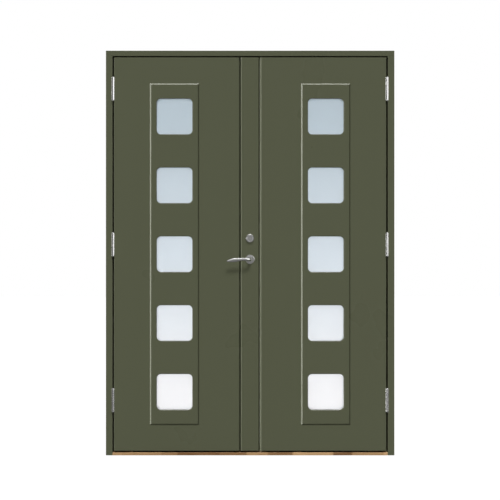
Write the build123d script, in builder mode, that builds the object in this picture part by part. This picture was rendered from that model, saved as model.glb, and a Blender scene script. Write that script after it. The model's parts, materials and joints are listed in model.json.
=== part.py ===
"""A pair of painted timber front doors in a rebated frame, with an oak threshold, in millimetres.

+X runs to the right seen from outside, +Y into the house and +Z up. The origin is on the underside of
the threshold, in the middle of the frame's width and depth. The left leaf carries the lock and lever.
"""

import os
from math import cos, radians, sin

from build123d import *

# Frame
frame_width = 1490.0
frame_height = 2090.0
frame_depth = 105.0
jamb_face = 34.0
head_face = 28.0
stop_width = 21.0
edge_chamfer = 1.0

# Threshold
threshold_nose = 14.5
threshold_overlap = 14.0
threshold_chamfer = 2.5

# Gaps round the leaves
side_gap = 8.0
top_gap = 6.5
bottom_gap = 9.5
meeting_gap = 5.0
stop_gap = 8.0
meeting_x = 52.5

# Leaf build-up
leaf_thickness = 62.0
board_thickness = 10.0
meeting_lean = 4.0
meeting_chamfer = 2.5
hinge_stile_width = 90.0
meeting_stile_width = 90.0
lock_stile_width = 125.0
rail_height = 110.0

# Lock strip on the left leaf
strip_width = 102.0
strip_groove = 5.0
strip_groove_depth = 20.0
strip_chamfer = 7.5

# Raised field and its windows
field_width = 254.0
field_rise = 133.5
field_top_drop = 135.0
field_from_hinge_edge = 312.5
field_edge = 1.5
field_bevel = 6.5
field_lap = 10.0
window_size = 186.0
window_radius = 22.0
window_chamfer = 1.5
window_end_margin = 77.5
window_count = 5

# Glass
pane_thickness = 4.0
pane_lap = 10.0
pane_clearance = 1.0
spacer_width = 11.5

# Lift-off hinges
hinge_top_drop = 163.5
hinge_bottom_rise = 261.0
hinge_stand_off = 9.5
knuckle_radius = 8.0
hinge_length = 125.0
knuckle_round = 4.0
knuckle_gap = 0.3
hinge_ring = 1.2
hinge_ring_proud = 0.8
hinge_pin_radius = 4.5
hinge_pin_height = 45.0
hinge_pin_clearance = 0.05
hinge_plate_thickness = 2.5
hinge_plate_height = 110.0
hinge_plate_depth = 32.0

# Seals on the stops
seal_thickness = 3.0
seal_width = 9.0
seal_inset = 3.0

# Fixing holes through the jambs
fixing_radius = 7.0
fixing_depth = 42.5
fixing_rise = 130.0
fixing_top_drop = 82.0
fixing_step = 470.0

# Lever, rose and spindle
lever_height = 1012.0
lever_x = -1.0
rose_radius = 23.5
rose_height = 10.0
rose_rim_height = 6.0
rose_rim_width = 4.0
neck_radius = 9.5
neck_clearance = 0.5
neck_length = 30.0
elbow_radius = 18.0
spindle_side = 8.0
spindle_entry = 20.0
spindle_bore_radius = 10.0

# Cylinder
cylinder_rise = 109.0
cylinder_ring_radius = 21.5
cylinder_ring_height = 12.0
cylinder_ring_rim = 3.0
cylinder_plug_radius = 14.0
cylinder_plug_sink = 2.0
cylinder_plug_length = 28.0
cylinder_clearance = 0.5
key_slot_length = 11.0
key_slot_width = 2.4
key_slot_depth = 6.0
key_slot_turn = 45.0

# Lock plates on the meeting edges
lock_plate_width = 22.0
lock_plate_length = 235.0
lock_plate_thickness = 3.0
lock_plate_drop = 15.0
bolt_width = 13.0
bolt_length = 32.0
bolt_depth = 20.0
bolt_clearance = 0.5

# Planes and corners that the pieces share
front_y = -frame_depth / 2
back_y = frame_depth / 2
leaf_back_y = front_y + leaf_thickness
stop_y = leaf_back_y + stop_gap
core_front_y = front_y + board_thickness
core_back_y = leaf_back_y - board_thickness
jamb_inner_x = frame_width / 2 - jamb_face
stop_inner_x = jamb_inner_x - stop_width
head_under_z = frame_height - head_face
head_stop_z = head_under_z - stop_width
leaf_bottom_z = threshold_nose + bottom_gap
leaf_top_z = head_under_z - top_gap
upstand_z = leaf_bottom_z + threshold_overlap
hinge_edge_x = jamb_inner_x - side_gap
hinge_axis_x = jamb_inner_x - side_gap / 2
hinge_axis_y = front_y - hinge_stand_off
field_height = leaf_top_z - field_top_drop - leaf_bottom_z - field_rise
field_middle_z = leaf_bottom_z + field_rise + field_height / 2
window_pitch = (field_height - 2 * window_end_margin - window_size) / (window_count - 1)
slot_width = field_width - 2 * field_lap
slot_height = field_height - 2 * field_lap
pane_size = window_size + 2 * pane_lap
pocket_size = pane_size + pane_clearance
knuckle_height = hinge_length / 2
hinge_top_z = leaf_top_z - hinge_top_drop
hinge_bottom_z = leaf_bottom_z + hinge_bottom_rise
hinge_heights = (hinge_top_z, (hinge_top_z + hinge_bottom_z) / 2, hinge_bottom_z)
cylinder_height = lever_height + cylinder_rise
lock_plate_z = (lever_height + cylinder_height) / 2 - lock_plate_drop
latch_z = lever_height
deadbolt_z = lever_height + cylinder_rise - 2 * bolt_length
fixing_top_z = head_under_z - fixing_top_drop
fixing_heights = (fixing_rise, fixing_rise + fixing_step, fixing_top_z - fixing_step, fixing_top_z)

# Sections of the lever beyond its elbow: along the lever, drop, half height, half thickness
blade_sections = (
    (elbow_radius, 0.0, 8.0, 7.5),
    (40.0, 0.0, 7.5, 6.5),
    (62.0, -1.8, 9.4, 6.0),
    (82.0, -3.4, 10.8, 5.6),
    (98.0, -5.6, 8.8, 5.2),
    (111.0, -7.8, 5.8, 4.4),
    (119.0, -9.4, 2.8, 2.8),
)


class Leaf:
    """One leaf's places across the door. Inward is +1 where X grows from its hinges to its meeting edge."""

    def __init__(self, name, inward, edge, stile_width):
        self.name = name
        self.inward = inward
        self.hinge_x = -inward * hinge_edge_x
        self.axis_x = -inward * hinge_axis_x
        self.jamb_x = -inward * jamb_inner_x
        self.edge = edge
        self.stile_width = stile_width
        self.stile_x = edge - inward * stile_width
        self.field_x = self.hinge_x + inward * field_from_hinge_edge

    def edge_at(self, y):
        """The meeting edge leans back with depth, so that the leaf swings clear of the other one."""
        return self.edge - self.inward * meeting_lean * (y - front_y) / leaf_thickness


left = Leaf("left", 1, meeting_x - meeting_gap / 2, lock_stile_width)
right = Leaf("right", -1, meeting_x + meeting_gap / 2, meeting_stile_width)
strip_x = left.edge - strip_width
groove_x = strip_x - strip_groove


def keep(piece, label):
    """Names a finished piece and writes it to its own file."""
    piece.label = label
    export_step(piece, f"parts/{label}.step")


def plan_bar(corners, bottom, top):
    """An upright bar whose plan has the given corners."""
    with BuildPart() as bar:
        with BuildSketch(Plane.XY.offset(bottom)):
            with BuildLine():
                Polyline(*corners, close=True)
            make_face()
        extrude(amount=top - bottom)
    return bar.part


def box_between(x0, x1, y0, y1, z0, z1):
    """A plain block between three pairs of faces."""
    return plan_bar([(x0, y0), (x1, y0), (x1, y1), (x0, y1)], z0, z1)


def hinge_pockets(x, into):
    """Recesses for the three hinge plates, open to the front, sunk from x along into."""
    with BuildPart() as pockets:
        for height in hinge_heights:
            with BuildSketch(Plane.XY.offset(height - hinge_plate_height / 2)):
                with Locations((x + into * hinge_plate_thickness / 2, front_y + hinge_plate_depth / 2)):
                    Rectangle(hinge_plate_thickness, hinge_plate_depth)
            extrude(amount=hinge_plate_height)
    return pockets.part


def jamb(leaf):
    """Rebated upright: the front part stands beside the leaf, and the stop behind it."""
    outer_x = -leaf.inward * frame_width / 2
    stop_x = leaf.jamb_x + leaf.inward * stop_width
    corners = [
        (outer_x, front_y),
        (leaf.jamb_x, front_y),
        (leaf.jamb_x, stop_y),
        (stop_x, stop_y),
        (stop_x, back_y),
        (outer_x, back_y),
    ]
    bar = plan_bar(corners, 0, head_under_z)
    seat_of_head = box_between(outer_x, stop_x, stop_y, back_y, head_stop_z, head_under_z)
    pockets = hinge_pockets(leaf.jamb_x, -leaf.inward)
    with BuildPart() as upright:
        add(bar)
        add(seat_of_head, mode=Mode.SUBTRACT)
        add(pockets, mode=Mode.SUBTRACT)
        with BuildSketch(Plane.YZ.offset(min(outer_x, leaf.jamb_x))):
            with Locations(*[(front_y + fixing_depth, height) for height in fixing_heights]):
                Circle(fixing_radius)
        extrude(amount=jamb_face, mode=Mode.SUBTRACT)
        top_front = upright.edges().filter_by(Axis.X).group_by(Axis.Y)[0].sort_by(Axis.Z)[-1]
        chamfer(top_front, edge_chamfer)
    return upright.part


def head():
    """Rebated top member, as wide as the frame and lying on the jambs."""
    with BuildPart() as beam:
        with BuildSketch(Plane.YZ.offset(-frame_width / 2)):
            with BuildLine():
                Polyline(
                    (front_y, head_under_z + edge_chamfer),
                    (front_y, frame_height),
                    (back_y, frame_height),
                    (back_y, head_stop_z),
                    (stop_y, head_stop_z),
                    (stop_y, head_under_z),
                    (front_y + edge_chamfer, head_under_z),
                    close=True,
                )
            make_face()
        extrude(amount=frame_width)
    return beam.part


def threshold():
    """Oak sill: a low nose under the leaves, and an upstand that they close against."""
    with BuildPart() as sill:
        with BuildSketch(Plane.YZ.offset(-jamb_inner_x)):
            with BuildLine():
                Polyline(
                    (front_y, 0),
                    (front_y, threshold_nose - threshold_chamfer),
                    (front_y + threshold_chamfer, threshold_nose),
                    (stop_y, threshold_nose),
                    (stop_y, 0),
                    close=True,
                )
            make_face()
        extrude(amount=2 * jamb_inner_x)
        with BuildSketch(Plane.YZ.offset(-stop_inner_x)):
            with BuildLine():
                Polyline(
                    (stop_y, 0),
                    (stop_y, upstand_z - threshold_chamfer),
                    (stop_y + threshold_chamfer, upstand_z),
                    (back_y - threshold_chamfer, upstand_z),
                    (back_y, upstand_z - threshold_chamfer),
                    (back_y, 0),
                    close=True,
                )
            make_face()
        extrude(amount=2 * stop_inner_x)
    return sill.part


def frame_seals():
    """Rubber strips on the faces of the stops, one on each side of the opening."""
    upright_x = stop_inner_x + seal_inset + seal_width / 2
    head_z = head_stop_z + seal_inset + seal_width / 2
    sill_z = upstand_z - threshold_chamfer - seal_width / 2
    upright_bottom = sill_z + seal_width / 2
    upright_top = head_z - seal_width / 2
    upright_z = (upright_bottom + upright_top) / 2
    with BuildPart() as seals:
        with BuildSketch(Plane.XZ.offset(-stop_y)):
            with Locations((-upright_x, upright_z), (upright_x, upright_z)):
                Rectangle(seal_width, upright_top - upright_bottom)
            with Locations((0, head_z)):
                Rectangle(2 * upright_x + seal_width, seal_width)
            with Locations((0, sill_z)):
                Rectangle(2 * stop_inner_x, seal_width)
        extrude(amount=seal_thickness)
    return seals.part


def hinge_plates(x, into, arm_bottom, arm_top):
    """Plates of three hinges, sunk from x along into, each with an arm to the knuckle between two heights.

    The heights of the arm are counted from the middle of the hinge.
    """
    middle_x = x + into * hinge_plate_thickness / 2
    with BuildPart() as plates:
        for height in hinge_heights:
            with BuildSketch(Plane.XY.offset(height - hinge_plate_height / 2)):
                with Locations((middle_x, front_y + hinge_plate_depth / 2)):
                    Rectangle(hinge_plate_thickness, hinge_plate_depth)
            extrude(amount=hinge_plate_height)
            with BuildSketch(Plane.XY.offset(height + arm_bottom)):
                with Locations((middle_x, (hinge_axis_y + front_y) / 2)):
                    Rectangle(hinge_plate_thickness, hinge_stand_off)
            extrude(amount=arm_top - arm_bottom)
    return plates.part


def hinge_pins(leaf):
    """Frame halves of the three hinges: lower knuckle with its pin, and a plate let into the jamb."""
    knuckle_top = -knuckle_gap / 2
    plates = hinge_plates(leaf.jamb_x, -leaf.inward, -hinge_plate_height / 2, knuckle_top)
    with BuildPart() as pins:
        for height in hinge_heights:
            with BuildSketch(Plane.XY.offset(height - knuckle_height)):
                with Locations((leaf.axis_x, hinge_axis_y)):
                    Circle(knuckle_radius)
            extrude(amount=knuckle_height + knuckle_top)
            low_ends = pins.edges().filter_by(GeomType.CIRCLE).group_by(Axis.Z)[0]
            fillet(low_ends, knuckle_round)
            with BuildSketch(Plane.XY.offset(height + knuckle_top - hinge_ring)):
                with Locations((leaf.axis_x, hinge_axis_y)):
                    Circle(knuckle_radius + hinge_ring_proud)
            extrude(amount=hinge_ring)
            with BuildSketch(Plane.XY.offset(height + knuckle_top)):
                with Locations((leaf.axis_x, hinge_axis_y)):
                    Circle(hinge_pin_radius)
            extrude(amount=hinge_pin_height)
        add(plates)
    return pins.part


def hinge_barrels(leaf):
    """Leaf halves of the three hinges: upper knuckle bored for the pin, and a plate let into the leaf."""
    knuckle_bottom = knuckle_gap / 2
    plates = hinge_plates(leaf.hinge_x, leaf.inward, knuckle_bottom, hinge_plate_height / 2)
    with BuildPart() as barrels:
        for height in hinge_heights:
            with BuildSketch(Plane.XY.offset(height + knuckle_bottom)):
                with Locations((leaf.axis_x, hinge_axis_y)):
                    Circle(knuckle_radius)
            extrude(amount=knuckle_height - knuckle_bottom)
        high_ends = barrels.edges().filter_by(GeomType.CIRCLE).filter_by(
            lambda edge: any(abs(edge.center().Z - height - knuckle_height) < 0.1 for height in hinge_heights)
        )
        fillet(high_ends, knuckle_round)
        add(plates)
        for height in hinge_heights:
            with BuildSketch(Plane.XY.offset(height + knuckle_bottom)):
                with Locations((leaf.axis_x, hinge_axis_y)):
                    Circle(hinge_pin_radius + hinge_pin_clearance)
            extrude(amount=hinge_pin_height + knuckle_gap, mode=Mode.SUBTRACT)
    return barrels.part


def hinge_stile(leaf):
    """Core upright along the hinges, recessed for their plates."""
    inner_x = leaf.hinge_x + leaf.inward * hinge_stile_width
    bar = box_between(leaf.hinge_x, inner_x, core_front_y, core_back_y, leaf_bottom_z, leaf_top_z)
    pockets = hinge_pockets(leaf.hinge_x, leaf.inward)
    with BuildPart() as stile:
        add(bar)
        add(pockets, mode=Mode.SUBTRACT)
    return stile.part


def edge_plane(leaf, height):
    """Plane on the leaning meeting edge at mid thickness, facing out of the leaf, with local x upwards."""
    middle_y = (front_y + leaf_back_y) / 2
    return Plane(
        origin=(leaf.edge_at(middle_y), middle_y, height),
        x_dir=(0, 0, 1),
        z_dir=(leaf.inward * leaf_thickness, meeting_lean, 0),
    )


def meeting_stile(leaf):
    """Core upright along the meeting edge, recessed for the lock plate."""
    corners = [
        (leaf.stile_x, core_front_y),
        (leaf.edge_at(core_front_y), core_front_y),
        (leaf.edge_at(core_back_y), core_back_y),
        (leaf.stile_x, core_back_y),
    ]
    bar = plan_bar(corners, leaf_bottom_z, leaf_top_z)
    with BuildPart() as stile:
        add(bar)
        with BuildSketch(edge_plane(leaf, lock_plate_z)):
            Rectangle(lock_plate_length, lock_plate_width)
        extrude(amount=-lock_plate_thickness, mode=Mode.SUBTRACT)
        for height in (latch_z, deadbolt_z):
            with BuildSketch(edge_plane(leaf, height)):
                Rectangle(bolt_length, bolt_width)
            extrude(amount=-bolt_depth, mode=Mode.SUBTRACT)
    return stile.part


def lock_stile():
    """The left leaf's meeting stile, grooved beside the lock strip and bored for spindle and cylinder."""
    groove_back = front_y + strip_groove_depth
    bar = meeting_stile(left)
    groove = box_between(groove_x, strip_x, core_front_y, groove_back, leaf_bottom_z, leaf_top_z)
    bores = lock_bores()
    with BuildPart() as stile:
        add(bar)
        add(groove, mode=Mode.SUBTRACT)
        add(bores, mode=Mode.SUBTRACT)
    return stile.part


def lock_bores():
    """Bores for the spindle and for the two cylinder plugs, right through the leaf."""
    with BuildPart() as bores:
        with BuildSketch(Plane.XZ.offset(-leaf_back_y)):
            with Locations((lever_x, lever_height)):
                Circle(spindle_bore_radius)
            with Locations((lever_x, cylinder_height)):
                Circle(cylinder_plug_radius + cylinder_clearance)
        extrude(amount=leaf_thickness)
    return bores.part


def rail(leaf, bottom):
    """Core crosspiece between the stiles."""
    inner_x = leaf.hinge_x + leaf.inward * hinge_stile_width
    return box_between(inner_x, leaf.stile_x, core_front_y, core_back_y, bottom, bottom + rail_height)


def face_board(leaf, face_y, edge_x, edge_cut, hinged):
    """Face of the leaf from its hinge edge to edge_x, with a slot behind the raised field."""
    out = -1 if face_y == front_y else 1
    inner_y = face_y - out * board_thickness
    cut_y = face_y - out * edge_cut
    lean = (leaf.edge_at(inner_y) - leaf.edge_at(cut_y)) if edge_cut else 0
    corners = [
        (leaf.hinge_x, inner_y),
        (leaf.hinge_x, face_y - out * edge_chamfer),
        (leaf.hinge_x + leaf.inward * edge_chamfer, face_y),
        (edge_x - leaf.inward * edge_cut, face_y),
    ]
    if edge_cut:
        corners.append((edge_x, cut_y))
    corners.append((edge_x + lean, inner_y))
    sheet = plan_bar(corners, leaf_bottom_z, leaf_top_z)
    pockets = hinge_pockets(leaf.hinge_x, leaf.inward)
    with BuildPart() as board:
        add(sheet)
        with BuildSketch(Plane.XZ.offset(-max(face_y, inner_y))):
            with Locations((leaf.field_x, field_middle_z)):
                Rectangle(slot_width, slot_height)
        extrude(amount=board_thickness, mode=Mode.SUBTRACT)
        if hinged:
            add(pockets, mode=Mode.SUBTRACT)
    return board.part


def lock_strip(face_y):
    """Flat strip beside the meeting edge of the left leaf, chamfered along both sides."""
    out = -1 if face_y == front_y else 1
    inner_y = face_y - out * board_thickness
    cut_y = face_y - out * strip_chamfer
    corners = [
        (strip_x, inner_y),
        (strip_x, cut_y),
        (strip_x + strip_chamfer, face_y),
        (left.edge_at(cut_y) - strip_chamfer, face_y),
        (left.edge_at(cut_y), cut_y),
        (left.edge_at(inner_y), inner_y),
    ]
    bar = plan_bar(corners, leaf_bottom_z, leaf_top_z)
    bores = lock_bores()
    with BuildPart() as strip:
        add(bar)
        add(bores, mode=Mode.SUBTRACT)
    return strip.part


def field(leaf, face_y):
    """Raised panel with bevelled edges and five eased windows, planted on the face of the leaf."""
    out = -1 if face_y == front_y else 1
    with BuildPart() as panel:
        with BuildSketch(Plane.XZ.offset(-face_y)):
            with Locations((leaf.field_x, field_middle_z)):
                Rectangle(field_width, field_height)
        extrude(amount=-out * (field_edge + field_bevel))
        front = panel.faces().sort_by(Axis.Y)[0 if out < 0 else -1]
        chamfer(front.edges(), field_bevel)
        with BuildSketch(Plane.XZ.offset(-face_y)):
            with Locations((leaf.field_x, field_middle_z)):
                with GridLocations(0, window_pitch, 1, window_count):
                    RectangleRounded(window_size, window_size, window_radius)
        extrude(amount=-out * (field_edge + field_bevel), mode=Mode.SUBTRACT)
        pierced = panel.faces().sort_by(Axis.Y)[0 if out < 0 else -1]
        chamfer(pierced.inner_wires().edges(), window_chamfer)
    return panel.part


def glazing_cassette(leaf):
    """Block in the slot of the leaf, as thick as the leaf, with a pocket for each pair of panes."""
    with BuildPart() as cassette:
        with BuildSketch(Plane.XZ.offset(-leaf_back_y)):
            with Locations((leaf.field_x, field_middle_z)):
                Rectangle(slot_width, slot_height)
                with GridLocations(0, window_pitch, 1, window_count):
                    Rectangle(pocket_size, pocket_size, mode=Mode.SUBTRACT)
        extrude(amount=leaf_thickness)
    return cassette.part


def panes(leaf):
    """Outer and inner panes, each lying flat behind its field."""
    with BuildPart() as glass:
        for back in (front_y + pane_thickness, leaf_back_y):
            with BuildSketch(Plane.XZ.offset(-back)):
                with Locations((leaf.field_x, field_middle_z)):
                    with GridLocations(0, window_pitch, 1, window_count):
                        Rectangle(pane_size, pane_size)
            extrude(amount=pane_thickness)
    return glass.part


def spacers(leaf):
    """Rings that hold each pair of panes apart."""
    with BuildPart() as rings:
        with BuildSketch(Plane.XZ.offset(-(leaf_back_y - pane_thickness))):
            with Locations((leaf.field_x, field_middle_z)):
                with GridLocations(0, window_pitch, 1, window_count):
                    Rectangle(pane_size, pane_size)
                    hole = pane_size - 2 * spacer_width
                    Rectangle(hole, hole, mode=Mode.SUBTRACT)
        extrude(amount=leaf_thickness - 2 * pane_thickness)
    return rings.part


def lock_plate(leaf):
    """Steel plate let into the meeting edge, with openings for latch and bolt."""
    with BuildPart() as plate:
        with BuildSketch(edge_plane(leaf, lock_plate_z)):
            Rectangle(lock_plate_length, lock_plate_width)
            with Locations((latch_z - lock_plate_z, 0), (deadbolt_z - lock_plate_z, 0)):
                Rectangle(bolt_length, bolt_width, mode=Mode.SUBTRACT)
        extrude(amount=-lock_plate_thickness)
    return plate.part


def lock_bolts():
    """Latch and dead bolt, both drawn in flush with the plate."""
    with BuildPart() as bolts:
        for height in (latch_z, deadbolt_z):
            with BuildSketch(edge_plane(left, height)):
                Rectangle(bolt_length - 2 * bolt_clearance, bolt_width - 2 * bolt_clearance)
            extrude(amount=-bolt_depth)
    return bolts.part


def furniture_plane(face_y, height):
    """Plane on a face of the leaf at the lock, facing away from the leaf, with local x upwards."""
    out = -1 if face_y == front_y else 1
    return Plane(origin=(lever_x, face_y, height), x_dir=(0, 0, 1), z_dir=(0, out, 0))


def rose(face_y):
    """Round rose: a broad rim, a step in, and a collar round the neck of the lever."""
    with BuildPart() as disc:
        with BuildSketch(furniture_plane(face_y, lever_height)):
            Circle(rose_radius)
        extrude(amount=rose_rim_height)
        rim = disc.edges().filter_by(GeomType.CIRCLE).sort_by(lambda edge: abs(edge.center().Y - face_y))[-1]
        fillet(rim, rose_rim_width / 2)
        with BuildSketch(furniture_plane(face_y, lever_height)):
            Circle(rose_radius - rose_rim_width - rose_rim_width / 2)
        extrude(amount=rose_height)
        top = disc.edges().filter_by(GeomType.CIRCLE).sort_by(lambda edge: abs(edge.center().Y - face_y))[-1]
        chamfer(top, rose_rim_width / 2)
        with BuildSketch(furniture_plane(face_y, lever_height)):
            Circle(neck_radius + neck_clearance)
        extrude(amount=rose_height, mode=Mode.SUBTRACT)
    return disc.part


def cylinder(face_y):
    """Cylinder ring, and in it the plug with its slanting key slot."""
    with BuildPart() as lock:
        with BuildSketch(furniture_plane(face_y, cylinder_height)):
            Circle(cylinder_ring_radius)
        extrude(amount=cylinder_ring_height)
        rim = lock.edges().filter_by(GeomType.CIRCLE).sort_by(lambda edge: abs(edge.center().Y - face_y))[-1]
        chamfer(rim, cylinder_ring_rim)
        with BuildSketch(furniture_plane(face_y, cylinder_height)):
            Circle(cylinder_plug_radius + cylinder_clearance)
        extrude(amount=cylinder_ring_height, mode=Mode.SUBTRACT)
        plug_top = furniture_plane(face_y, cylinder_height).offset(cylinder_ring_height - cylinder_plug_sink)
        with BuildSketch(plug_top):
            Circle(cylinder_plug_radius)
        extrude(amount=-cylinder_plug_length)
        with BuildSketch(plug_top):
            SlotOverall(key_slot_length, key_slot_width, rotation=key_slot_turn)
        extrude(amount=-key_slot_depth, mode=Mode.SUBTRACT)
    return lock.part


def lever(face_y):
    """Lever handle: a round neck out of the rose, an elbow, and a blade that droops to a point."""
    out = -1 if face_y == front_y else 1
    base_y = face_y + out * neck_length
    reach_y = base_y + out * elbow_radius
    with BuildPart() as handle:
        with BuildSketch(Plane(origin=(lever_x, base_y, lever_height), x_dir=(0, 0, 1), z_dir=(0, out, 0))):
            Ellipse(neck_radius, neck_radius)
        for turn in (30.0, 60.0):
            x = lever_x - elbow_radius * (1 - cos(radians(turn)))
            y = base_y + out * elbow_radius * sin(radians(turn))
            along = (-sin(radians(turn)), out * cos(radians(turn)), 0)
            height, thickness = neck_radius - turn / 60, neck_radius - turn / 45
            with BuildSketch(Plane(origin=(x, y, lever_height), x_dir=(0, 0, 1), z_dir=along)):
                Ellipse(height, thickness)
        for reach, drop, height, thickness in blade_sections:
            centre = (lever_x - reach, reach_y, lever_height + drop)
            with BuildSketch(Plane(origin=centre, x_dir=(0, 0, 1), z_dir=(-1, 0, 0))):
                Ellipse(height, thickness)
        loft()
        with BuildSketch(furniture_plane(face_y, lever_height).offset(neck_clearance)):
            Circle(neck_radius)
        extrude(amount=neck_length - neck_clearance)
        with BuildSketch(furniture_plane(face_y, lever_height)):
            Rectangle(spindle_side, spindle_side)
        extrude(amount=spindle_entry, mode=Mode.SUBTRACT)
    return handle.part


def spindle():
    """Square bar that joins the two levers through the leaf."""
    with BuildPart() as bar:
        with BuildSketch(Plane.XZ.offset(-(leaf_back_y + spindle_entry))):
            with Locations((lever_x, lever_height)):
                Rectangle(spindle_side, spindle_side)
        extrude(amount=leaf_thickness + 2 * spindle_entry)
    return bar.part


os.makedirs("parts", exist_ok=True)

# Frame
keep(head(), "head")
keep(jamb(left), "left_jamb")
keep(jamb(right), "right_jamb")
keep(threshold(), "threshold")
keep(frame_seals(), "frame_seals")
keep(hinge_pins(left), "left_hinge_pins")
keep(hinge_pins(right), "right_hinge_pins")

# What both leaves have
for leaf in (left, right):
    keep(hinge_stile(leaf), f"{leaf.name}_hinge_stile")
    keep(rail(leaf, leaf_top_z - rail_height), f"{leaf.name}_top_rail")
    keep(rail(leaf, leaf_bottom_z), f"{leaf.name}_bottom_rail")
    keep(field(leaf, front_y), f"{leaf.name}_outer_field")
    keep(field(leaf, leaf_back_y), f"{leaf.name}_inner_field")
    keep(glazing_cassette(leaf), f"{leaf.name}_glazing_cassette")
    keep(panes(leaf), f"{leaf.name}_panes")
    keep(spacers(leaf), f"{leaf.name}_spacers")
    keep(hinge_barrels(leaf), f"{leaf.name}_hinge_barrels")

# Left leaf with its lock
keep(lock_stile(), "left_lock_stile")
keep(face_board(left, front_y, groove_x, 0, True), "left_outer_face")
keep(face_board(left, leaf_back_y, groove_x, 0, False), "left_inner_face")
keep(lock_strip(front_y), "left_outer_lock_strip")
keep(lock_strip(leaf_back_y), "left_inner_lock_strip")
keep(lock_plate(left), "lock_faceplate")
keep(lock_bolts(), "lock_bolts")
keep(rose(front_y), "outer_rose")
keep(rose(leaf_back_y), "inner_rose")
keep(cylinder(front_y), "outer_cylinder")
keep(cylinder(leaf_back_y), "inner_cylinder")

# Right leaf with its strike plate
keep(meeting_stile(right), "right_meeting_stile")
keep(face_board(right, front_y, right.edge, meeting_chamfer, True), "right_outer_face")
keep(face_board(right, leaf_back_y, right.edge_at(leaf_back_y), meeting_chamfer, False), "right_inner_face")
keep(lock_plate(right), "strike_plate")

# Levers on their spindle
keep(lever(front_y), "outer_lever")
keep(lever(leaf_back_y), "inner_lever")
keep(spindle(), "spindle")
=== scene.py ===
"""Looks of the double front door: olive paint, satin glass, steel hinges, polished lever and oak threshold.

The CAD pieces keep their shape, but a round seal takes the place of the plain strips on the stops. What is
added here rides on the CAD bodies: seals, beads round the windows and screws.
All lengths are in metres, in the frame of the part: +X right, +Y into the house, +Z up.
"""

import json
import math

import bpy
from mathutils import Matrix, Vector


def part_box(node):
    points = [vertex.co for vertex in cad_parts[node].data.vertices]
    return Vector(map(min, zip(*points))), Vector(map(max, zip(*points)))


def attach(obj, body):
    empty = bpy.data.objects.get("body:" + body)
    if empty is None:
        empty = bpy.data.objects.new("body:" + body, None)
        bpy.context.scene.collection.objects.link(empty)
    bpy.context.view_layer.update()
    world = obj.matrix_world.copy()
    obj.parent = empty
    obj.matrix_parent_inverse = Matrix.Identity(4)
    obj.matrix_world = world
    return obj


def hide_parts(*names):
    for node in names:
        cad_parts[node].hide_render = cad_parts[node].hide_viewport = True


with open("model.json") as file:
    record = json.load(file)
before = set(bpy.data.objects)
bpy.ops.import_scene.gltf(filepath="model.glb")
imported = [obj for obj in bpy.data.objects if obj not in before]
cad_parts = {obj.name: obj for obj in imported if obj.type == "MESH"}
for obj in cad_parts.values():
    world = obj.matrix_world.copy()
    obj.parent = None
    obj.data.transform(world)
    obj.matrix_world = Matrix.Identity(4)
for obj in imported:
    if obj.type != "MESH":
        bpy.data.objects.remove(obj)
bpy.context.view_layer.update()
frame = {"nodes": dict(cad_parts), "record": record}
scene = bpy.context.scene

# Sizes that the boxes of the nodes don't give. The lean is sideways over depth.
MM = 0.001
WINDOW_SIDE = 186.0 * MM
WINDOW_RADIUS = 22.0 * MM
WINDOW_COUNT = 5
HINGE_HEIGHTS = (1892.0 * MM, 1088.5 * MM, 285.0 * MM)
MEETING_LEAN = 4.0 / 62.0
SCREW_RADIUS = 3.9 * MM
SCREW_HEIGHT = 0.5 * MM
SCREW_SINK = 0.1 * MM
RECESS_LENGTH = 1.1 * SCREW_RADIUS
RECESS_WIDTH = 0.28 * SCREW_RADIUS

# Where the painted reflection on the glass has its three colours, at about the middle of the lowest, the
# third and the top window
PAINTED_REFLECTION_LOW, PAINTED_REFLECTION_MIDDLE, PAINTED_REFLECTION_HIGH = 330.0 * MM, 1040.0 * MM, 1750.0 * MM


# Shader helpers

def srgb(red, green, blue):
    """A colour as it shows on screen, 0 to 255, turned into the linear colour that shaders use."""
    def linear(value):
        value /= 255
        return value / 12.92 if value <= 0.04045 else ((value + 0.055) / 1.055) ** 2.4
    return (linear(red), linear(green), linear(blue), 1.0)


class Tree:
    """A node tree that is written one node at a time."""

    def __init__(self, tree):
        self.tree = tree

    def add(self, kind, inputs=None, **settings):
        """A new node with these settings, its named inputs fed."""
        node = self.tree.nodes.new(kind)
        for key, value in settings.items():
            setattr(node, key, value)
        for key, value in (inputs or {}).items():
            self.feed(node.inputs[key], value)
        return node

    def feed(self, socket, value):
        """Links a socket to another node's output, or sets it to a plain value."""
        if isinstance(value, bpy.types.NodeSocket):
            self.tree.links.new(value, socket)
        else:
            socket.default_value = value

    def math(self, operation, *values):
        """The result of a sum on one, two or three values."""
        node = self.add("ShaderNodeMath", operation=operation)
        for socket, value in zip(node.inputs, values):
            self.feed(socket, value)
        return node.outputs[0]

    def mix(self, factor, first, second):
        """A colour between two others. Sockets 6 and 7 and output 2 are the node's colours."""
        node = self.add("ShaderNodeMix", data_type="RGBA")
        self.feed(node.inputs["Factor"], factor)
        self.feed(node.inputs[6], first)
        self.feed(node.inputs[7], second)
        return node.outputs[2]

    def span(self, value, low, high, to_low, to_high):
        """A value taken from one range to another, and held within it."""
        node = self.add("ShaderNodeMapRange")
        for index, item in enumerate((value, low, high, to_low, to_high)):
            self.feed(node.inputs[index], item)
        return node.outputs[0]

    def noise(self, vector, scale, detail=2.0, roughness=0.5):
        """Soft noise between 0 and 1."""
        node = self.add("ShaderNodeTexNoise", {"Vector": vector, "Scale": scale, "Detail": detail,
                                               "Roughness": roughness})
        return node.outputs["Fac"]

    def stretched(self, vector, scale):
        """Coordinates with a scale of their own on each axis."""
        node = self.add("ShaderNodeVectorMath", operation="MULTIPLY")
        self.feed(node.inputs[0], vector)
        self.feed(node.inputs[1], scale)
        return node.outputs[0]

    def shaded(self, colour, factor):
        """A colour made lighter or darker by a factor."""
        node = self.add("ShaderNodeVectorMath", operation="SCALE")
        self.feed(node.inputs[0], colour)
        self.feed(node.inputs["Scale"], factor)
        return node.outputs[0]


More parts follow.
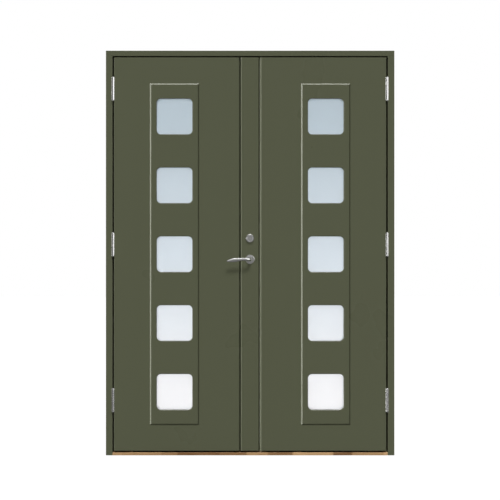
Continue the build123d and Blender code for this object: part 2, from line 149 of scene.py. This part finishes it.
def fresh_tree(owner):
    """The node tree of a material or of the world, emptied."""
    owner.use_nodes = True
    owner.node_tree.nodes.clear()
    return Tree(owner.node_tree)


COLOUR, VALUE, VECTOR = "NodeSocketColor", "NodeSocketFloat", "NodeSocketVector"
LOOK = [("Color", COLOUR), ("Roughness", VALUE), ("Height", VALUE)]


def look_group(name, inputs):
    """A new shader group that puts out a look, with its tree, its given values and its output node."""
    made = bpy.data.node_groups.new(name, "ShaderNodeTree")
    for label, kind, value in inputs:
        socket = made.interface.new_socket(label, in_out="INPUT", socket_type=kind)
        if value is not None:
            socket.default_value = value
    for label, kind in LOOK:
        made.interface.new_socket(label, in_out="OUTPUT", socket_type=kind)
    tree = Tree(made)
    return made, tree, tree.add("NodeGroupInput").outputs, tree.add("NodeGroupOutput")


def paint_group():
    """Sprayed paint: slow drifts of tone, a fine orange peel and a little unevenness in its sheen."""
    made, tree, given, out = look_group("sprayed_paint", [
        ("Vector", VECTOR, None), ("Color", COLOUR, None), ("Drift", VALUE, 0.025),
        ("Peel Scale", VALUE, 700.0), ("Roughness", VALUE, 0.4)])
    slow = tree.noise(given["Vector"], 2.3, 3.0)
    peel = tree.noise(given["Vector"], given["Peel Scale"], 2.0, 0.6)
    speck = tree.noise(given["Vector"], 2600.0, 1.0)
    tone = tree.math("MULTIPLY_ADD", tree.math("SUBTRACT", slow, 0.5), given["Drift"], 1.0)
    grain = tree.math("MULTIPLY_ADD", tree.math("SUBTRACT", speck, 0.5), 0.08, 1.0)
    uneven = tree.span(slow, 0.3, 0.7, -0.01, 0.01)
    tree.feed(out.inputs["Color"], tree.shaded(given["Color"], tree.math("MULTIPLY", tone, grain)))
    tree.feed(out.inputs["Roughness"], tree.math("ADD", given["Roughness"], uneven))
    tree.feed(out.inputs["Height"], peel)
    return made


def oak_group():
    """Oak in finger-jointed lengths along X: each length has its own tone, with streaks and open pores."""
    made, tree, given, out = look_group("finger_jointed_oak", [
        ("Vector", VECTOR, None), ("Light", COLOUR, None), ("Dark", COLOUR, None), ("Lengths", VALUE, 7.0)])
    finger_width, finger_slope = 3.0 * MM, 3.0
    place = tree.add("ShaderNodeSeparateXYZ", {"Vector": given["Vector"]}).outputs
    finger = tree.math("PINGPONG", tree.math("ADD", place["Y"], place["Z"]), finger_width)
    along = tree.math("ADD", place["X"], tree.math("MULTIPLY", finger, finger_slope))
    cells = tree.add("ShaderNodeTexVoronoi", {"W": along, "Scale": given["Lengths"]},
                     voronoi_dimensions="1D")
    joint = tree.add("ShaderNodeTexVoronoi", {"W": along, "Scale": given["Lengths"]},
                     voronoi_dimensions="1D", feature="DISTANCE_TO_EDGE")
    cell = tree.add("ShaderNodeSeparateColor", {"Color": cells.outputs["Color"]})
    shifted = tree.add("ShaderNodeVectorMath", operation="ADD")
    tree.feed(shifted.inputs[0], given["Vector"])
    tree.feed(shifted.inputs[1], cells.outputs["Color"])
    streak = tree.noise(tree.stretched(shifted.outputs[0], (5.0, 90.0, 90.0)), 1.0, 5.0, 0.65)
    pores = tree.noise(tree.stretched(shifted.outputs[0], (40.0, 1400.0, 1400.0)), 1.0, 2.0, 0.5)
    tone = tree.math("MULTIPLY_ADD", tree.math("SUBTRACT", streak, 0.5), 0.9, cell.outputs["Red"])
    board = tree.mix(tree.span(tone, 0.0, 1.0, 0.0, 1.0), given["Dark"], given["Light"])
    pore_mask = tree.span(pores, 0.58, 0.7, 0.0, 0.45)
    line = tree.span(joint.outputs["Distance"], 0.0, 0.006, 0.5, 0.0)
    marks = tree.math("MAXIMUM", pore_mask, line)
    tree.feed(out.inputs["Color"], tree.mix(marks, board, srgb(78, 52, 28)))
    tree.feed(out.inputs["Roughness"], tree.span(streak, 0.3, 0.7, 0.42, 0.55))
    tree.feed(out.inputs["Height"], tree.math("SUBTRACT", streak, tree.math("MULTIPLY", marks, 0.6)))
    return made


def metal_group():
    """Worked metal: fine lines along one direction, and soft patches where it has been handled."""
    made, tree, given, out = look_group("worked_metal", [
        ("Vector", VECTOR, None), ("Color", COLOUR, None), ("Roughness", VALUE, 0.25),
        ("Line Scale", VECTOR, (2000.0, 2000.0, 40.0))])
    stretched = tree.stretched(given["Vector"], given["Line Scale"])
    lines = tree.noise(stretched, 1.0, 3.0, 0.6)
    patch = tree.noise(given["Vector"], 60.0, 2.0)
    shade = tree.span(lines, 0.3, 0.7, 0.94, 1.03)
    tree.feed(out.inputs["Color"], tree.shaded(given["Color"], shade))
    rough = tree.math("ADD", given["Roughness"], tree.span(lines, 0.3, 0.7, -0.04, 0.05))
    tree.feed(out.inputs["Roughness"], tree.math("ADD", rough, tree.span(patch, 0.4, 0.7, 0.0, 0.04)))
    tree.feed(out.inputs["Height"], lines)
    return made


def painted_reflection_group():
    """Satin glass with a painted reflection: bluish grey at the top of the leaf, clearing to white downwards,
    with a very slight cloudiness.
    """
    made, tree, given, out = look_group("satin_painted_reflection", [
        ("Vector", VECTOR, None), ("Top", COLOUR, None), ("Middle", COLOUR, None), ("Bottom", COLOUR, None),
        ("Roughness", VALUE, 0.2)])
    height = tree.add("ShaderNodeSeparateXYZ", {"Vector": given["Vector"]}).outputs["Z"]
    lower = tree.mix(tree.span(height, PAINTED_REFLECTION_LOW, PAINTED_REFLECTION_MIDDLE, 0.0, 1.0), given["Bottom"], given["Middle"])
    full = tree.mix(tree.span(height, PAINTED_REFLECTION_MIDDLE, PAINTED_REFLECTION_HIGH, 0.0, 1.0), lower, given["Top"])
    cloud = tree.noise(given["Vector"], 14.0, 2.0)
    frost = tree.noise(given["Vector"], 1800.0, 2.0)
    uneven = tree.span(cloud, 0.3, 0.7, -0.02, 0.02)
    tree.feed(out.inputs["Color"], tree.shaded(full, tree.span(cloud, 0.3, 0.7, 0.99, 1.01)))
    tree.feed(out.inputs["Roughness"], tree.math("ADD", given["Roughness"], uneven))
    tree.feed(out.inputs["Height"], frost)
    return made


def rubber_group():
    """Moulded rubber: dull, with a dusting of paler grains."""
    made, tree, given, out = look_group("moulded_rubber", [
        ("Vector", VECTOR, None), ("Color", COLOUR, None), ("Dust", COLOUR, None)])
    grain = tree.noise(given["Vector"], 900.0, 3.0)
    cloud = tree.noise(given["Vector"], 25.0, 3.0)
    dust = tree.math("MULTIPLY", tree.span(grain, 0.5, 0.8, 0.0, 0.35), tree.span(cloud, 0.35, 0.7, 0.2, 1.0))
    tree.feed(out.inputs["Color"], tree.mix(dust, given["Color"], given["Dust"]))
    tree.feed(out.inputs["Roughness"], tree.span(cloud, 0.3, 0.7, 0.55, 0.7))
    tree.feed(out.inputs["Height"], grain)
    return made


PAINT, OAK, METAL, PAINTED_REFLECTION, RUBBER = paint_group(), oak_group(), metal_group(), painted_reflection_group(), rubber_group()


def material(name, look, look_inputs, bump, bump_distance, **principled):
    """A material whose colour, roughness and relief come from a look group in object coordinates."""
    made = bpy.data.materials.new(name)
    tree = fresh_tree(made)
    place = tree.add("ShaderNodeTexCoord").outputs["Object"]
    seen = tree.add("ShaderNodeGroup", {"Vector": place, **look_inputs}, node_tree=look).outputs
    relief = tree.add("ShaderNodeBump", {
        "Strength": bump, "Distance": bump_distance, "Height": seen["Height"]})
    shader = tree.add("ShaderNodeBsdfPrincipled", {
        "Base Color": seen["Color"], "Roughness": seen["Roughness"], "Normal": relief.outputs["Normal"]})
    for key, value in principled.items():
        shader.inputs[key.replace("_", " ")].default_value = value
    end = tree.add("ShaderNodeOutputMaterial")
    tree.feed(end.inputs["Surface"], shader.outputs["BSDF"])
    return made


# The paint, the oak and the rubber have a low sheen, because they mirror the white background of the studio.
olive = material("olive_paint", PAINT, {"Color": srgb(84, 87, 68), "Roughness": 0.28}, 0.12, 0.0002,
                 Specular_IOR_Level=0.18)
bare_wood = material("bare_wood", OAK, {
    "Light": srgb(205, 178, 134), "Dark": srgb(176, 146, 102), "Lengths": 2.0}, 0.3, 0.0004)
oak = material("oak", OAK, {
    "Light": srgb(194, 158, 114), "Dark": srgb(119, 86, 52), "Lengths": 9.0}, 0.3, 0.0004,
    Specular_IOR_Level=0.2)
hinge_steel = material("hinge_steel", METAL, {"Color": srgb(220, 220, 218), "Roughness": 0.2}, 0.03, 0.0001,
                       Metallic=1.0)
plate_steel = material("plate_steel", METAL, {
    "Color": srgb(186, 186, 183), "Roughness": 0.32, "Line Scale": (2000.0, 2000.0, 60.0)}, 0.15, 0.0001,
    Metallic=1.0)
lever_metal = material("lever_metal", METAL, {
    "Color": srgb(216, 216, 214), "Roughness": 0.16, "Line Scale": (90.0, 1200.0, 1200.0)}, 0.06, 0.0001,
    Metallic=1.0)
# The spacers are near-white as painted light: it stands in for the light through the satin panes, so that no
# dark rim shows behind them.
spacer_aluminium = material("spacer_aluminium", PAINT, {
    "Color": srgb(245, 246, 247), "Roughness": 0.6}, 0.1, 0.0001)
# The satin glass carries a painted reflection: bluish grey at the top of the leaf, white at the bottom.
satin_glass = material("satin_glass", PAINTED_REFLECTION, {
    "Top": srgb(220, 228, 233), "Middle": srgb(237, 242, 246), "Bottom": srgb(252, 252, 253),
    "Roughness": 0.3}, 0.05, 0.0001, Transmission_Weight=0.9, IOR=1.25)
black_rubber = material("black_rubber", RUBBER, {
    "Color": srgb(22, 22, 21), "Dust": srgb(60, 60, 57)}, 0.2, 0.0002, Specular_IOR_Level=0.1)
# The meeting seal's pale olive is partly its own colour and partly a painted highlight for the lit side of
# the meeting gap.
painted_highlight_rubber = material("painted_highlight_rubber", RUBBER, {
    "Color": srgb(138, 141, 118), "Dust": srgb(148, 151, 128)}, 0.2, 0.0002, Specular_IOR_Level=0.12)
# The grey of the window beads is partly the glazing silicone and partly painted shade along the window edges.
silicone_painted_shade = material("silicone_painted_shade", RUBBER, {
    "Color": srgb(96, 99, 92), "Dust": srgb(108, 111, 104)}, 0.1, 0.0002)

FINISHES = {"olive_paint": olive, "bare_wood": bare_wood, "oak": oak, "hinge_steel": hinge_steel,
            "plate_steel": plate_steel, "lever_metal": lever_metal, "satin_glass": satin_glass,
            "spacer_aluminium": spacer_aluminium, "seal_rubber": black_rubber}

slot_of = {part["node"]: part["material_slot"] for part in frame["record"]["subparts"]}
for name, node in frame["nodes"].items():
    for place in node.material_slots:
        place.material = FINISHES[slot_of[name]]


# Pieces made by geometry nodes

def geometry_group(name, inputs):
    """A new geometry group with named inputs, with its tree, its given values and its output node."""
    made = bpy.data.node_groups.new(name, "GeometryNodeTree")
    made.is_modifier = True
    made.interface.new_socket("Geometry", in_out="INPUT", socket_type="NodeSocketGeometry")
    for label, kind in inputs:
        made.interface.new_socket(label, in_out="INPUT", socket_type=kind)
    made.interface.new_socket("Geometry", in_out="OUTPUT", socket_type="NodeSocketGeometry")
    tree = Tree(made)
    return made, tree, tree.add("NodeGroupInput").outputs, tree.add("NodeGroupOutput")


def close_tree(tree, shape, finish, out):
    """Every tree ends in plain faces that carry their material."""
    real = tree.add("GeometryNodeRealizeInstances", {"Geometry": shape})
    painted = tree.add("GeometryNodeSetMaterial", {"Geometry": real.outputs[0], "Material": finish})
    tree.feed(out.inputs["Geometry"], painted.outputs[0])


def grown(name, tree, points, edges, values):
    """The plain mesh object that a geometry tree makes from a few points and edges."""
    mesh = bpy.data.meshes.new(name)
    mesh.from_pydata(points, edges, [])
    seed = bpy.data.objects.new(name + "_seed", mesh)
    scene.collection.objects.link(seed)
    modifier = seed.modifiers.new(name, "NODES")
    modifier.node_group = tree
    for item in tree.interface.items_tree:
        if item.in_out == "INPUT" and item.name in values:
            modifier[item.identifier] = values[item.name]
    ready = bpy.context.evaluated_depsgraph_get()
    shape = bpy.data.meshes.new_from_object(seed.evaluated_get(ready), depsgraph=ready)
    shape.name = name
    seed.modifiers.clear()
    bpy.data.objects.remove(seed)
    piece = bpy.data.objects.new(name, shape)
    scene.collection.objects.link(piece)
    return piece


def ring_edges(count):
    """The edges that join points to a closed ring."""
    return [(index, (index + 1) % count) for index in range(count)]


def extruded_seal_tree():
    """A seal cut from a length of extrusion: its section is the outline that the modifier is given."""
    made, tree, given, out = geometry_group("extruded_seal", [
        ("Start", VECTOR), ("End", VECTOR), ("Finish", "NodeSocketMaterial")])
    section = tree.add("GeometryNodeMeshToCurve", {"Mesh": given["Geometry"]})
    line = tree.add("GeometryNodeCurvePrimitiveLine", {"Start": given["Start"], "End": given["End"]})
    swept = tree.add("GeometryNodeCurveToMesh", {
        "Curve": line.outputs[0], "Profile Curve": section.outputs[0], "Fill Caps": True})
    close_tree(tree, swept.outputs[0], given["Finish"], out)
    return made


def bulb_seal_tree():
    """A bulb seal that follows a closed loop, flat where it is glued and round towards the leaf."""
    made, tree, given, out = geometry_group("bulb_seal", [
        ("Corner Radius", VALUE), ("Half Width", VALUE), ("Height", VALUE), ("Finish", "NodeSocketMaterial")])
    loop = tree.add("GeometryNodeMeshToCurve", {"Mesh": given["Geometry"]})
    eased = tree.add("GeometryNodeFilletCurve", {"Curve": loop.outputs[0], "Radius": given["Corner Radius"],
                                                 "Count": 5}, mode="POLY")
    half_round = tree.add("GeometryNodeCurveArc", {"Resolution": 13, "Radius": 1.0,
                                                   "Start Angle": math.radians(-90.0),
                                                   "Sweep Angle": math.radians(180.0)})
    size = tree.add("ShaderNodeCombineXYZ", {"X": given["Height"], "Y": given["Half Width"], "Z": 1.0})
    section = tree.add("GeometryNodeTransform", {"Geometry": half_round.outputs[0], "Scale": size.outputs[0]})
    closed = tree.add("GeometryNodeSetSplineCyclic", {"Geometry": section.outputs[0], "Cyclic": True})
    swept = tree.add("GeometryNodeCurveToMesh", {"Curve": eased.outputs[0],
                                                 "Profile Curve": closed.outputs[0]})
    close_tree(tree, swept.outputs[0], given["Finish"], out)
    return made


def window_bead_tree():
    """A thin bead round each window, where the glass meets the raised field, grey as painted shade there."""
    made, tree, given, out = geometry_group("window_bead", [
        ("Side", VALUE), ("Corner Radius", VALUE), ("Bead Radius", VALUE), ("Finish", "NodeSocketMaterial")])
    square = tree.add("GeometryNodeCurvePrimitiveQuadrilateral", {"Width": given["Side"],
                                                                  "Height": given["Side"]})
    eased = tree.add("GeometryNodeFilletCurve", {"Curve": square.outputs[0], "Radius": given["Corner Radius"],
                                                 "Count": 10}, mode="POLY")
    section = tree.add("GeometryNodeCurvePrimitiveCircle", {"Resolution": 10, "Radius": given["Bead Radius"]})
    swept = tree.add("GeometryNodeCurveToMesh", {"Curve": eased.outputs[0],
                                                 "Profile Curve": section.outputs[0]})
    smooth = tree.add("GeometryNodeSetShadeSmooth", {"Geometry": swept.outputs[0]})
    upright = tree.add("GeometryNodeTransform", {"Geometry": smooth.outputs[0],
                                                 "Rotation": (math.radians(90.0), 0.0, 0.0)})
    places = tree.add("GeometryNodeMeshToPoints", {"Mesh": given["Geometry"]})
    set_out = tree.add("GeometryNodeInstanceOnPoints", {"Points": places.outputs[0],
                                                        "Instance": upright.outputs[0]})
    close_tree(tree, set_out.outputs[0], given["Finish"], out)
    return made


def screw_tree():
    """Countersunk screws with a cross recess, each turned by a chance amount."""
    made, tree, given, out = geometry_group("countersunk_screws", [
        ("Head Radius", VALUE), ("Head Height", VALUE), ("Recess Length", VALUE), ("Recess Width", VALUE),
        ("Facing", VECTOR), ("Seed", "NodeSocketInt"), ("Finish", "NodeSocketMaterial")])
    rim = tree.math("MULTIPLY", given["Head Radius"], 0.9)
    head = tree.add("GeometryNodeMeshCone", {
        "Vertices": 28, "Radius Top": rim, "Radius Bottom": given["Head Radius"],
        "Depth": given["Head Height"]})
    deep = tree.math("MULTIPLY", given["Head Height"], 1.4)
    lift = tree.add("ShaderNodeCombineXYZ", {"Z": tree.math("MULTIPLY", given["Head Height"], 1.05)})
    length, width = given["Recess Length"], given["Recess Width"]
    long_bar = tree.add("ShaderNodeCombineXYZ", {"X": length, "Y": width, "Z": deep})
    wide_bar = tree.add("ShaderNodeCombineXYZ", {"X": width, "Y": length, "Z": deep})
    shape = head.outputs[0]
    for bar in (long_bar, wide_bar):
        cutter = tree.add("GeometryNodeMeshCube", {"Size": bar.outputs[0]})
        raised = tree.add("GeometryNodeTransform", {"Geometry": cutter.outputs[0],
                                                    "Translation": lift.outputs[0]})
        cut = tree.add("GeometryNodeMeshBoolean", operation="DIFFERENCE", solver="EXACT")
        tree.feed(cut.inputs["Mesh 1"], shape)
        tree.feed(cut.inputs["Mesh 2"], raised.outputs[0])
        shape = cut.outputs[0]
    places = tree.add("GeometryNodeMeshToPoints", {"Mesh": given["Geometry"]})
    set_out = tree.add("GeometryNodeInstanceOnPoints", {"Points": places.outputs[0], "Instance": shape,
                                                        "Rotation": given["Facing"]})
    # Socket 3 and output 1 are the largest plain number and the number drawn.
    chance = tree.add("FunctionNodeRandomValue", {"Seed": given["Seed"]}, data_type="FLOAT")
    tree.feed(chance.inputs[3], math.radians(180.0))
    twist = tree.add("ShaderNodeCombineXYZ", {"Z": chance.outputs[1]})
    turned = tree.add("GeometryNodeRotateInstances", {"Instances": set_out.outputs[0],
                                                      "Rotation": twist.outputs[0]})
    close_tree(tree, turned.outputs[0], given["Finish"], out)
    return made


EXTRUDED_SEAL, BULB_SEAL = extruded_seal_tree(), bulb_seal_tree()
WINDOW_BEAD, SCREWS = window_bead_tree(), screw_tree()


def meeting_seal():
    """The olive seal on the right leaf that closes the gap, with its lip just clear of the left leaf."""
    low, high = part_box("right_meeting_stile")
    foot_front, lip_front, lip_tip = (55.1, -50.0), (49.9, -45.6), (49.62, -44.6)
    lip_back, foot_back = (51.5, -38.0), (55.9, -38.0)
    outline = [foot_front, lip_front, lip_tip, lip_back, foot_back]
    points = [(x * MM, y * MM, 0.0) for x, y in outline]
    # The seal's pale colour is partly a painted highlight on the lit side of the meeting gap.
    piece = grown("meeting_seal", EXTRUDED_SEAL, points, ring_edges(len(points)), {
        "Start": (0.0, 0.0, low[2]), "End": (0.0, 0.0, high[2]), "Finish": painted_highlight_rubber})
    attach(piece, "right_leaf")


def bottom_seals():
    """A black blade under each leaf that sweeps just over the threshold."""
    front_half = [(4.0, 0.0), (4.0, 2.0), (1.2, 2.6), (0.7, 8.4)]
    section = front_half + [(-ahead, drop) for ahead, drop in reversed(front_half)]
    points = [(ahead * MM, drop * MM, 0.0) for ahead, drop in section]
    behind_face, end_room = 9.0 * MM, 4.0 * MM
    for hand in ("left", "right"):
        low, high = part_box(hand + "_bottom_rail")
        y = low[1] + behind_face
        piece = grown(hand + "_bottom_seal", EXTRUDED_SEAL, points, ring_edges(len(points)), {
            "Start": (low[0] + end_room, y, low[2]), "End": (high[0] - end_room, y, low[2]),
            "Finish": black_rubber})
        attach(piece, hand + "_leaf")


def stop_seal():
    """The black bulb seal round the stops, which the closed leaves press."""
    low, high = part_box("frame_seals")
    width, height = 9.0 * MM, 7.0 * MM
    left, right = low[0] + width / 2, high[0] - width / 2
    bottom, top = low[2] + width / 2, high[2] - width / 2
    points = [(left, high[1], bottom), (right, high[1], bottom), (right, high[1], top), (left, high[1], top)]
    piece = grown("stop_seal", BULB_SEAL, points, ring_edges(len(points)), {
        "Corner Radius": 6.0 * MM, "Half Width": width / 2, "Height": height, "Finish": black_rubber})
    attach(piece, "frame")
    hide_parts("frame_seals")


def window_beads():
    """A bead on the glass at each window, outside and inside, on both leaves."""
    radius = 0.7 * MM
    for hand in ("left", "right"):
        low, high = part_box(hand + "_panes")
        middle, half = (low[0] + high[0]) / 2, (high[0] - low[0]) / 2
        first = low[2] + half
        step = (high[2] - half - first) / (WINDOW_COUNT - 1)
        heights = [first + step * index for index in range(WINDOW_COUNT)]
        points = [(middle, depth, z) for depth in (low[1] - radius, high[1] + radius) for z in heights]
        piece = grown(hand + "_window_beads", WINDOW_BEAD, points, [], {
            "Side": WINDOW_SIDE - 2 * radius, "Corner Radius": WINDOW_RADIUS - radius, "Bead Radius": radius,
            "Finish": silicone_painted_shade})
        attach(piece, hand + "_leaf")


def screw_heads(name, body, places, facing, seed):
    """A set of screw heads that sit on a plate and face one way, given as turns in degrees."""
    piece = grown(name, SCREWS, places, [], {
        "Head Radius": SCREW_RADIUS, "Head Height": SCREW_HEIGHT, "Recess Length": RECESS_LENGTH,
        "Recess Width": RECESS_WIDTH, "Facing": [math.radians(angle) for angle in facing], "Seed": seed,
        "Finish": plate_steel})
    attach(piece, body)


def hinge_screws():
    """Four screws in each hinge plate, staggered, in the jambs and in the edges of the leaves."""
    front_row, back_row = -44.0 * MM, -30.0 * MM
    rises = ((-43.0 * MM, front_row), (-16.0 * MM, back_row), (16.0 * MM, front_row), (43.0 * MM, back_row))
    # The threshold ends at the jamb faces that hold the hinge plates.
    jamb_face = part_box("threshold")[1][0]
    leaf_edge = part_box("right_hinge_stile")[1][0]
    for hand, side in (("left", -1), ("right", 1)):
        jamb = [(side * (jamb_face + SCREW_SINK), y, z + rise) for z in HINGE_HEIGHTS for rise, y in rises]
        leaf = [(side * (leaf_edge - SCREW_SINK), y, z + rise) for z in HINGE_HEIGHTS for rise, y in rises]
        screw_heads(hand + "_jamb_screws", "frame", jamb, (0.0, -90.0 * side, 0.0), 11 + side)
        screw_heads(hand + "_leaf_screws", hand + "_leaf", leaf, (0.0, 90.0 * side, 0.0), 21 + side)


def lock_screws():
    """Two screws in the lock faceplate and two in the strike plate, on the leaning meeting edges."""
    from_middle = 106.0 * MM
    lean = math.degrees(math.atan(MEETING_LEAN))
    # The meeting edges lean back from these places at the front of the leaves.
    front, left_edge, right_edge = -52.5 * MM, 50.0 * MM, 55.0 * MM
    for node, body, edge, side in (("lock_faceplate", "left_leaf", left_edge, 1),
                                   ("strike_plate", "right_leaf", right_edge, -1)):
        low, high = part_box(node)
        y, z = (low[1] + high[1]) / 2, (low[2] + high[2]) / 2
        x = edge - side * ((y - front) * MEETING_LEAN + SCREW_SINK)
        places = [(x, y, z + rise) for rise in (-from_middle, from_middle)]
        screw_heads(node + "_screws", body, places, (0.0, 90.0 * side, lean * side), 31 + side)


meeting_seal()
bottom_seals()
stop_seal()
window_beads()
hinge_screws()
lock_screws()


# Stage: floor, world, lights and camera

def grey(level):
    """A grey as shaders use it: 0 is black and 1 is white."""
    return (level, level, level, 1.0)


# How white metal and paint mirror what lies in front, the floor and the dark flags at both sides, as in a
# product studio. Overhead it is full white.
MIRRORED_FRONT = 0.32
MIRRORED_FLOOR = 0.08
MIRRORED_FLAGS = 0.12

# The light that the room itself gives, and the share of the floor that glows white for the camera. The rest
# of the floor keeps the object's shadow.
ROOM_LEVEL = 0.02
FLOOR_GLOW = 0.92


def white_rays(tree, mirrored):
    """How white the background is: full for the camera and through glass, as given where it is mirrored.

    The first value leaves out what is mirrored.
    """
    path = tree.add("ShaderNodeLightPath")
    straight = tree.math("MAXIMUM", path.outputs["Is Camera Ray"], path.outputs["Is Transmission Ray"])
    sheen = tree.math("MULTIPLY", path.outputs["Is Glossy Ray"], mirrored)
    return straight, tree.math("MAXIMUM", straight, sheen)


def floor():
    """A floor that looks white and sends little light back up to the door."""
    bpy.ops.mesh.primitive_plane_add(size=60.0)
    ground = bpy.context.object
    ground.name = "floor"
    made = bpy.data.materials.new("floor")
    tree = fresh_tree(made)
    straight, white = white_rays(tree, MIRRORED_FLOOR)
    drift = tree.noise(tree.add("ShaderNodeTexCoord").outputs["Object"], 1.5, 2.0)
    dull = tree.mix(drift, grey(0.055), grey(0.065))
    matt = tree.add("ShaderNodeBsdfDiffuse", {"Color": tree.mix(straight, dull, grey(0.85))})
    glow = tree.add("ShaderNodeEmission", {"Color": grey(1.0), "Strength": 1.0})
    mixed = tree.add("ShaderNodeMixShader", {"Fac": tree.math("MULTIPLY", white, FLOOR_GLOW)})
    tree.feed(mixed.inputs[1], matt.outputs[0])
    tree.feed(mixed.inputs[2], glow.outputs[0])
    end = tree.add("ShaderNodeOutputMaterial")
    tree.feed(end.inputs["Surface"], mixed.outputs[0])
    ground.data.materials.append(made)
    return ground


# Far softboxes: name, where they stand as seen from the door, width in degrees, power, what they light, and
# whether the fields, the metal and the floor cast a shadow. The second half lights the inner side.
SOFTBOXES = [
    ("top", (0.0, -0.06, 1.0), 20.0, 2.8, "matt", False),
    ("left", (-1.0, -0.28, 0.12), 36.0, 5.3, "matt", False),
    ("key", (0.13, -0.64, 0.76), 14.0, 1.8, "matt", True),
    ("metal_right", (0.7, -0.6, 0.1), 66.0, 1.8, "metal", True),
    ("inner_top", (0.0, 0.35, 1.0), 32.0, 1.2, "matt", False),
    ("inner_left", (1.0, 0.45, 0.04), 36.0, 3.8, "matt", False),
    ("inner_key", (-0.13, 0.64, 0.76), 14.0, 1.3, "matt", True),
    ("inner_metal_right", (-0.7, 0.6, 0.1), 66.0, 1.8, "metal", True),
]
LAMP_DISTANCE = 6.0
BRIGHT_METAL = ("hinge_steel", "lever_metal")


def linked(label, pieces, state):
    """A collection of pieces that a lamp's light linking includes or leaves out."""
    made = bpy.data.collections.new(label)
    for piece in pieces:
        made.objects.link(piece)
    for place in made.collection_objects:
        place.light_linking.link_state = state
    return made


def softboxes(ground):
    """The far lamps, each linked to what it lights and to what casts a shadow in it."""
    nodes = frame["nodes"]
    metal = [nodes[name] for name in slot_of if slot_of[name] in BRIGHT_METAL]
    fields = [nodes[name] for name in slot_of if name.endswith("_field")]
    lit = {"metal": linked("only_bright_metal", metal, "INCLUDE"),
           "matt": linked("no_bright_metal", metal, "EXCLUDE")}
    proud = linked("proud_pieces", metal + fields + [ground], "EXCLUDE")
    for name, way, width, power, what, shaded in SOFTBOXES:
        light = bpy.data.lights.new(name, "SUN")
        light.angle = math.radians(width)
        light.energy = power
        holder = bpy.data.objects.new(name, light)
        scene.collection.objects.link(holder)
        holder.location = Vector(way) * LAMP_DISTANCE
        holder.rotation_euler = Vector(way).to_track_quat("Z", "Y").to_euler()
        holder.visible_transmission = False
        holder.light_linking.receiver_collection = lit[what]
        if not shaded:
            holder.light_linking.blocker_collection = proud


def studio():
    """A dim room that looks like white paper, and is mirrored as a product studio."""
    world = bpy.data.worlds.new("studio")
    scene.world = world
    tree = fresh_tree(world)
    room = tree.add("ShaderNodeBackground", {"Color": grey(1.0), "Strength": ROOM_LEVEL})
    paper = tree.add("ShaderNodeBackground", {"Color": grey(1.0), "Strength": 1.0})
    way = tree.add("ShaderNodeTexCoord").outputs["Generated"]
    parts = tree.add("ShaderNodeSeparateXYZ", {"Vector": way}).outputs
    overhead = tree.span(parts["Z"], 0.1, 0.8, MIRRORED_FRONT, 1.0)
    flags = tree.span(tree.math("ABSOLUTE", parts["X"]), 0.35, 0.85, 1.0, MIRRORED_FLAGS)
    _, white = white_rays(tree, tree.math("MULTIPLY", overhead, flags))
    mixed = tree.add("ShaderNodeMixShader", {"Fac": white})
    tree.feed(mixed.inputs[1], room.outputs[0])
    tree.feed(mixed.inputs[2], paper.outputs[0])
    end = tree.add("ShaderNodeOutputWorld")
    tree.feed(end.inputs["Surface"], mixed.outputs[0])


def viewpoint():
    """The photo's camera: straight on, from far off, at about half the door's height."""
    camera = bpy.data.cameras.new("camera")
    camera.lens = 125.46
    camera.sensor_width = 36.0
    camera.clip_end = 100.0
    holder = bpy.data.objects.new("camera", camera)
    scene.collection.objects.link(holder)
    holder.location = (-0.0008, -9.0525, 1.0605)
    holder.rotation_euler = (math.radians(90.0), 0.0, 0.0)
    scene.camera = holder
    scene.view_settings.view_transform = "Standard"


softboxes(floor())
studio()
viewpoint()
